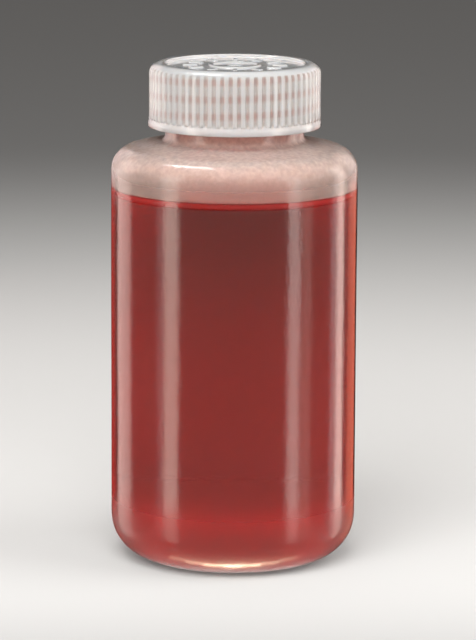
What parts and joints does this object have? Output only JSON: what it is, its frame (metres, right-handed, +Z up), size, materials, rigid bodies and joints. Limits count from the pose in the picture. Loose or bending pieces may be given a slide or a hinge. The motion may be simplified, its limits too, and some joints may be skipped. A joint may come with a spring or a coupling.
{
  "type": "wide mouth reagent bottle",
  "caption": "Round wide-mouth plastic laboratory bottle with a sloping shoulder, a ribbed screw cap with a sealing liner, and red liquid inside.",
  "frame": {"origin": "middle of the base, on the plane that the bottle stands on", "axes": "+Z up the bottle's axis, towards the cap; the thread is right-handed about +Z"},
  "size_m": [0.0618, 0.0618, 0.1258],
  "materials": {
    "natural_plastic": "satin",
    "red_liquid": "gloss",
    "liner_foam": "matte",
    "cap_plastic": "satin"
  },
  "bodies": {
    "body": {"bottle": "natural_plastic", "liquid": "red_liquid"},
    "seal": {"liner": "liner_foam"},
    "closure": {"cap": "cap_plastic"}
  },
  "joints": [
    {"name": "cap_lift", "type": "slide", "parent": "body", "child": "seal", "axis": [0, 0, 1], "range_m": [0, 0.0181]},
    {"name": "cap_turn", "type": "hinge", "parent": "seal", "child": "closure", "pos_m": [0, 0, 0.12235], "axis": [0, 0, 1], "range_deg": [0, 1530]}
  ],
  "couplings": [
    {"joint": "cap_lift", "follows": "cap_turn", "m_per_rad": 0.00067375}
  ]
}
